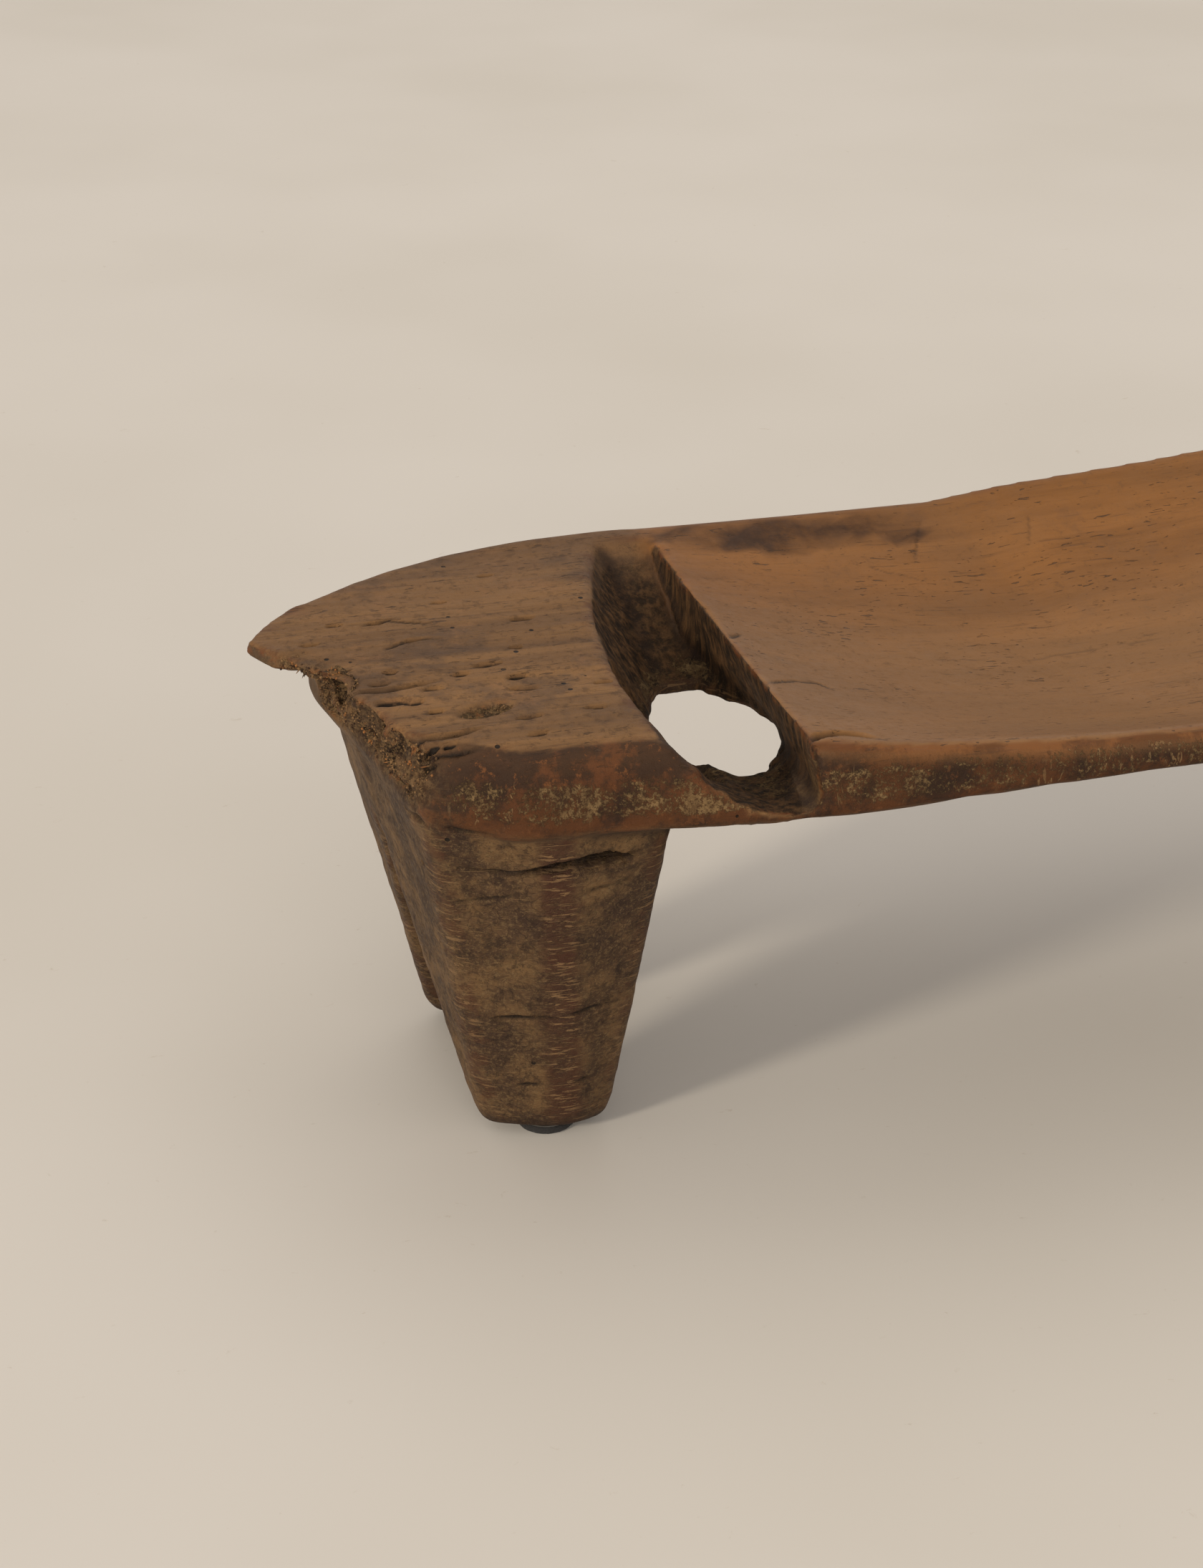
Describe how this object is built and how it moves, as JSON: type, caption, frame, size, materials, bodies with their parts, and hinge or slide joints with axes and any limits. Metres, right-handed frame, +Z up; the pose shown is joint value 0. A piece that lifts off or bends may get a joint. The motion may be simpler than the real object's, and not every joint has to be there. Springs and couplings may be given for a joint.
{
  "type": "headrest",
  "caption": "Low headrest carved from one block of wood: a dished slab between two thick ends, a hand slot beside each end, and tapered faceted legs on felt pads.",
  "frame": {"origin": "on the floor, under the middle of the overall box", "axes": "+X along the slab towards the sound end, +Y across it towards the back, +Z up"},
  "size_m": [0.7192, 0.2324, 0.208],
  "materials": {
    "carved_wood": "worn, hand-polished patina, matte on the legs and satin in the dish",
    "pad_felt": "pressed black felt",
    "pad_adhesive": "thin foam adhesive"
  },
  "bodies": {
    "root": {"carved_body": "carved_wood", "felt_pad_front_left": "pad_felt", "felt_pad_front_right": "pad_felt", "felt_pad_back_left": "pad_felt", "felt_pad_back_right": "pad_felt", "pad_adhesive_front_left": "pad_adhesive", "pad_adhesive_front_right": "pad_adhesive", "pad_adhesive_back_left": "pad_adhesive", "pad_adhesive_back_right": "pad_adhesive"}
  },
  "joints": []
}
